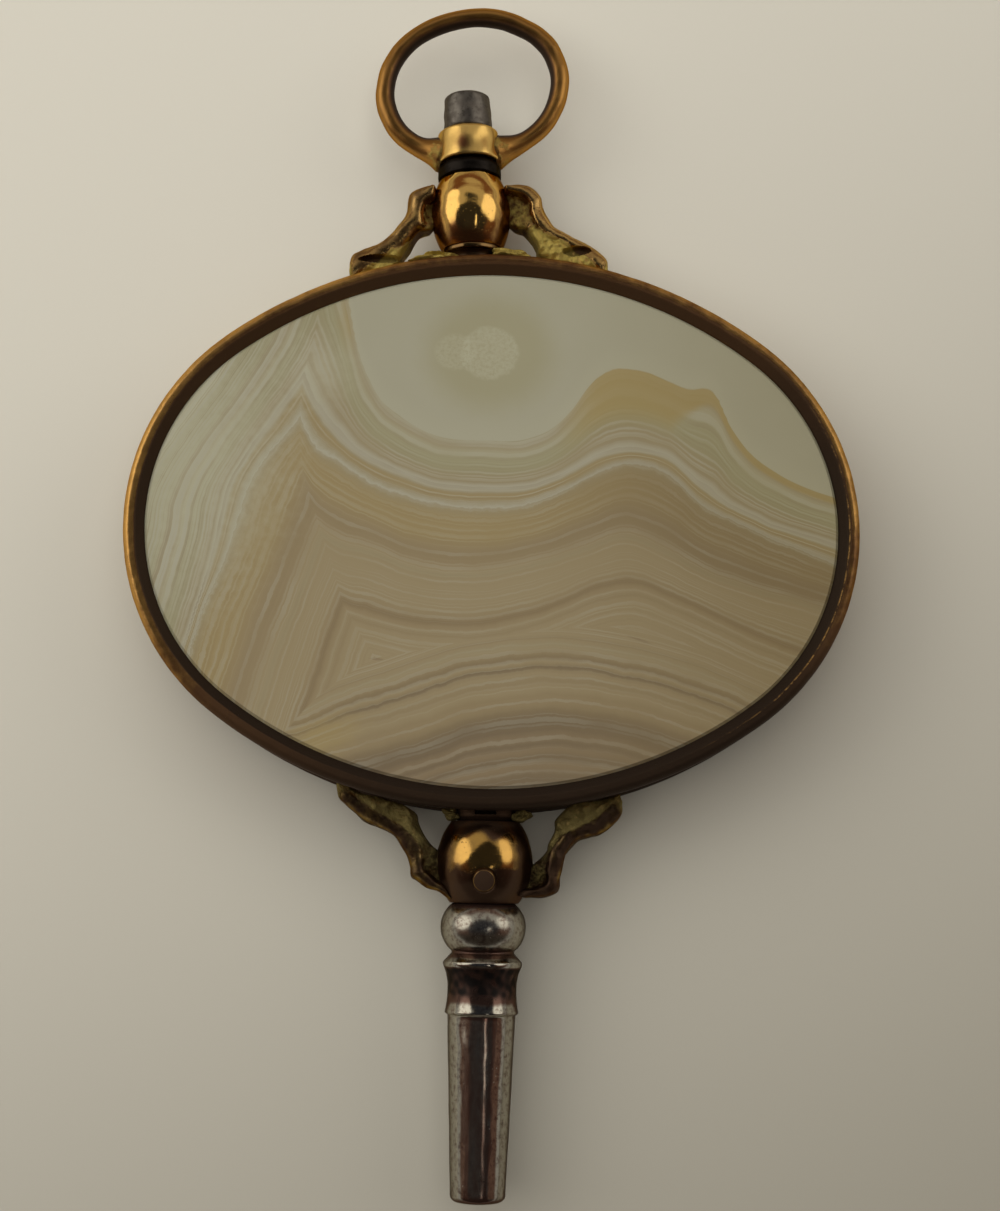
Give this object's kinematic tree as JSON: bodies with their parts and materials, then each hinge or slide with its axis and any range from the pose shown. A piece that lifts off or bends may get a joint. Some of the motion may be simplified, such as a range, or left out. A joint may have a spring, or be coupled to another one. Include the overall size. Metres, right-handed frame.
{
  "type": "pocket watch key",
  "caption": "Pocket watch winding key: a banded agate plate in an oval gilt rim, with scroll brackets, a steel pipe with a square socket and a swivelling bow.",
  "frame": {"origin": "middle of the key's footprint, on the surface that it lies on", "axes": "+Y along the winding pipe towards the bow, +X along the oval to the right as seen from the front, +Z out of the front of the stone"},
  "size_m": [0.04, 0.0668, 0.006],
  "materials": {
    "gilt_case": "worn gilding over brass with brown tarnish",
    "gilt_fittings": "worn gilding over brass with green solder and brown tarnish",
    "post_steel": "dark hammered steel",
    "pipe_steel": "polished steel with brown stains",
    "agate": "polished banded agate"
  },
  "bodies": {
    "key": {"case_band": "gilt_case", "front_bezel": "gilt_case", "back_bezel": "gilt_case", "agate_plate": "agate", "head_foot": "gilt_fittings", "head_bead": "gilt_fittings", "head_scroll_left": "gilt_fittings", "head_scroll_right": "gilt_fittings", "swivel_washer": "post_steel", "swivel_post": "post_steel", "tail_foot": "gilt_fittings", "tail_bead": "gilt_fittings", "tail_scroll_left": "gilt_fittings", "tail_scroll_right": "gilt_fittings", "cross_pin": "gilt_fittings", "winding_pipe": "pipe_steel"},
    "bow": {"bow_collar": "gilt_fittings", "bow_ring": "gilt_fittings"}
  },
  "joints": [
    {"name": "bow_swivel", "type": "hinge", "parent": "key", "child": "bow", "pos_m": [-0.0018, 0.02535, 0.003], "axis": [-0.0558, 0.9984, 0], "continuous": true}
  ]
}
